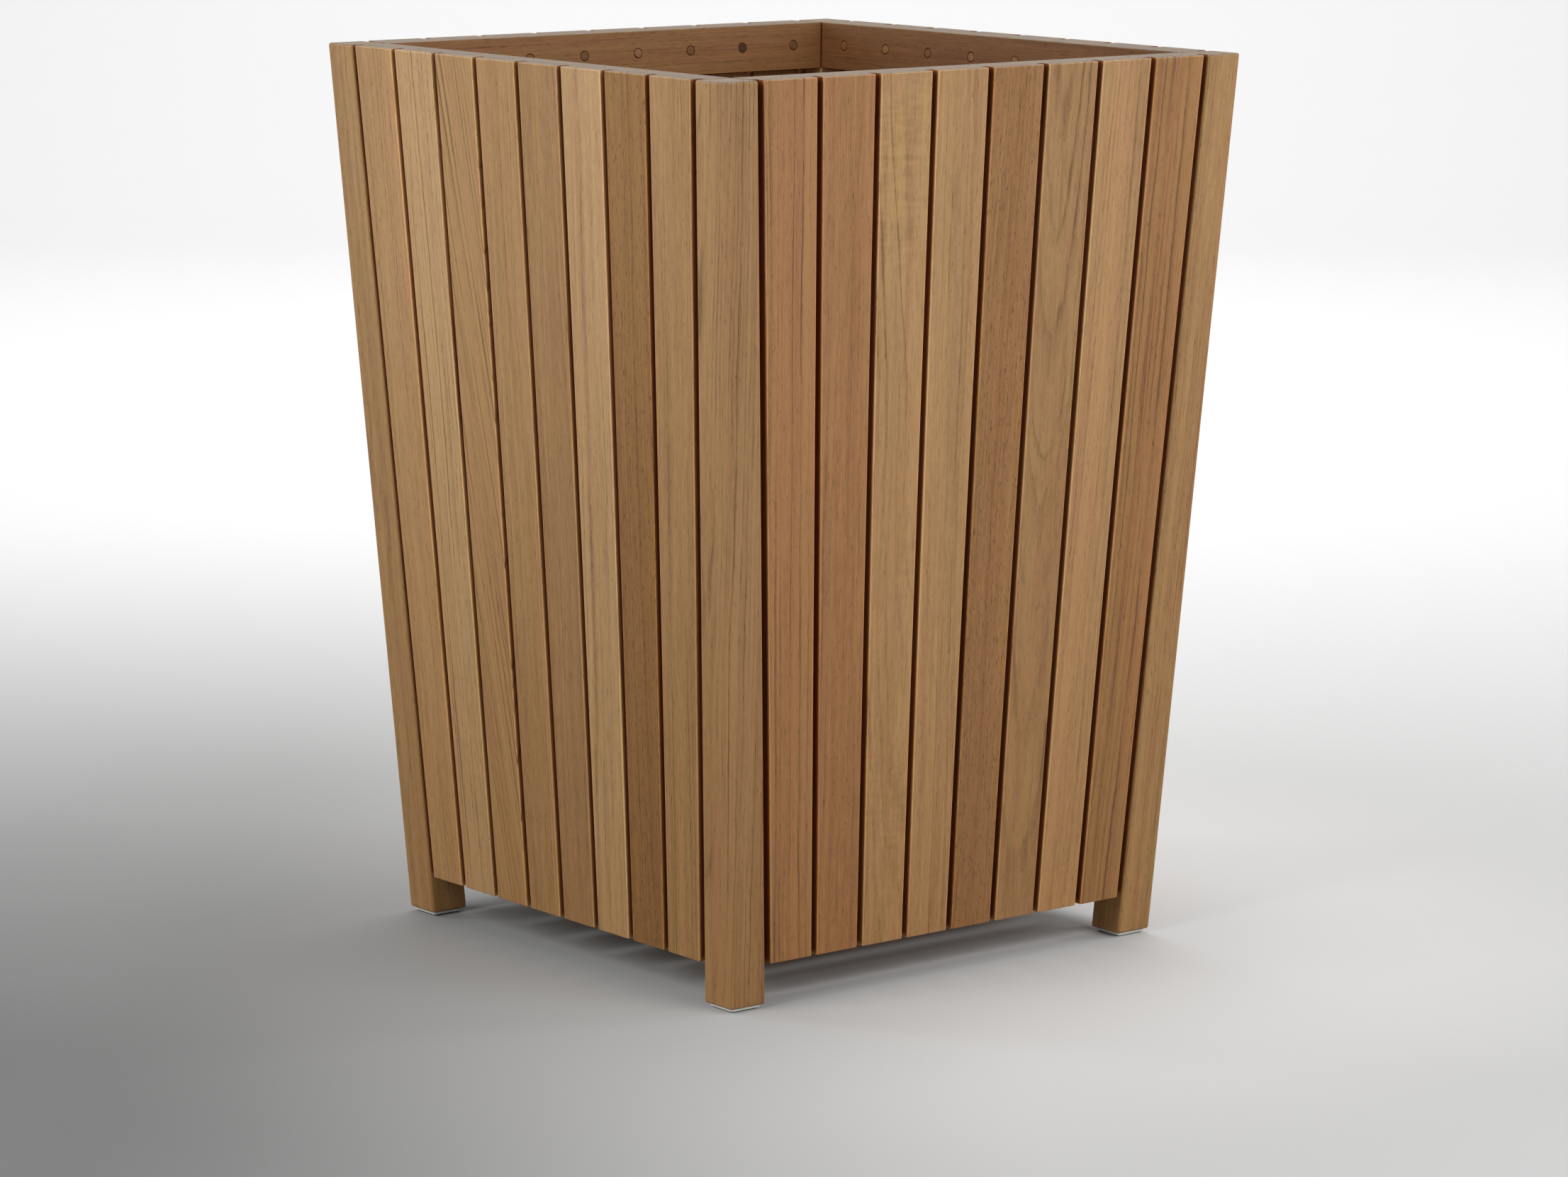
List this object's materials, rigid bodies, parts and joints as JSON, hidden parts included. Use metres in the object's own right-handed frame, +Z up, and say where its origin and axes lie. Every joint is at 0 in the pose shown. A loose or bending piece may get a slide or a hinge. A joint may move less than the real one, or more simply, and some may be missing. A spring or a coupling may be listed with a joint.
{
  "type": "planter box",
  "caption": "Square tapered planter box of upright teak slats between leaning corner posts, open at the top, with a slatted floor and short feet.",
  "frame": {"origin": "middle of the footprint, on the ground under the glides", "axes": "+Z up; the front is the side at -Y and the right side is at +X"},
  "size_m": [0.6098, 0.6098, 0.842],
  "materials": {
    "teak": "sanded teak with a thin matt oil finish, tone varied from board to board",
    "teak_rails": "sanded teak with a thin matt oil finish, grain along the rail",
    "teak_floor": "planed teak, less finely sanded",
    "grey_plastic": "moulded pale grey nylon, slightly scuffed"
  },
  "bodies": {
    "root": {"post_front_left": "teak", "post_front_right": "teak", "post_back_right": "teak", "post_back_left": "teak", "slat_front_1": "teak", "slat_front_2": "teak", "slat_front_3": "teak", "slat_front_4": "teak", "slat_front_5": "teak", "slat_front_6": "teak", "slat_front_7": "teak", "slat_front_8": "teak", "slat_right_1": "teak", "slat_right_2": "teak", "slat_right_3": "teak", "slat_right_4": "teak", "slat_right_5": "teak", "slat_right_6": "teak", "slat_right_7": "teak", "slat_right_8": "teak", "slat_back_1": "teak", "slat_back_2": "teak", "slat_back_3": "teak", "slat_back_4": "teak", "slat_back_5": "teak", "slat_back_6": "teak", "slat_back_7": "teak", "slat_back_8": "teak", "slat_left_1": "teak", "slat_left_2": "teak", "slat_left_3": "teak", "slat_left_4": "teak", "slat_left_5": "teak", "slat_left_6": "teak", "slat_left_7": "teak", "slat_left_8": "teak", "top_rail_front": "teak_rails", "top_rail_right": "teak_rails", "top_rail_back": "teak_rails", "top_rail_left": "teak_rails", "bottom_rail_front": "teak_rails", "bottom_rail_right": "teak_rails", "bottom_rail_back": "teak_rails", "bottom_rail_left": "teak_rails", "floor_bearer_left": "teak_floor", "floor_bearer_right": "teak_floor", "floor_board_1": "teak_floor", "floor_board_2": "teak_floor", "floor_board_3": "teak_floor", "floor_board_4": "teak_floor", "floor_board_5": "teak_floor", "floor_board_6": "teak_floor", "glide_front_left": "grey_plastic", "glide_front_right": "grey_plastic", "glide_back_right": "grey_plastic", "glide_back_left": "grey_plastic"}
  },
  "joints": []
}
